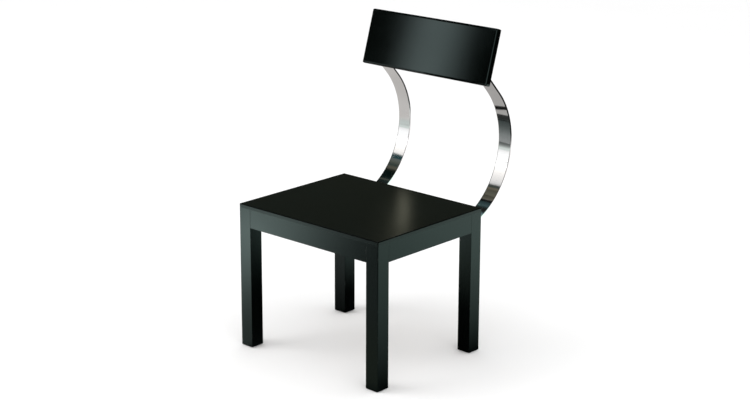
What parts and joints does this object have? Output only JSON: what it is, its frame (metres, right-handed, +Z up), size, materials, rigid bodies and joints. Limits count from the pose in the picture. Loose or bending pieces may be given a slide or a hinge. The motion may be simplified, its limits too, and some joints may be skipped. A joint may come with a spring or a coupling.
{
  "type": "chair",
  "caption": "Dining chair with a square black lacquered seat on square legs and a leaning, slightly bowed back panel on two wide steel spring bands.",
  "frame": {"origin": "on the floor, at the middle of the chair's bounding box: x = 0 is the middle of the seat's width and y = 0 is halfway between the seat's front and the back of the bows", "axes": "+Z up, +Y towards the back of the chair, +X to the chair's right side as seen from the front (the sitter's left hand)"},
  "size_m": [0.5, 0.5926, 0.8678],
  "materials": {
    "black_lacquer": "black satin lacquer, slightly cool sheen",
    "beech": "planed beech under the seat, unpainted",
    "polished_steel": "polished, chromed spring steel",
    "zinc_hardware": "zinc-plated steel fixings",
    "black_plastic": "hard black plastic glides and pads"
  },
  "bodies": {
    "root": {"seat_board": "black_lacquer", "leg_front_left": "black_lacquer", "leg_front_right": "black_lacquer", "leg_rear_left": "black_lacquer", "leg_rear_right": "black_lacquer", "apron_front": "black_lacquer", "apron_rear": "black_lacquer", "apron_left": "black_lacquer", "apron_right": "black_lacquer", "apron_dowels": "beech", "corner_block_left": "beech", "corner_block_right": "beech", "corner_block_screws": "zinc_hardware", "seat_bearer": "beech", "bearer_dowels": "beech", "spring_rail": "beech", "rail_dowels": "beech", "seat_board_screws": "zinc_hardware", "foot_glide_front_left": "black_plastic", "foot_glide_front_right": "black_plastic", "foot_glide_rear_left": "black_plastic", "foot_glide_rear_right": "black_plastic", "rail_inserts": "zinc_hardware", "band_pads": "black_plastic", "spring_band_left": "polished_steel", "spring_band_right": "polished_steel", "seat_bolt_washers": "zinc_hardware", "seat_bolts": "zinc_hardware", "back_panel": "black_lacquer", "panel_inserts": "zinc_hardware", "panel_screws": "polished_steel"}
  },
  "joints": []
}
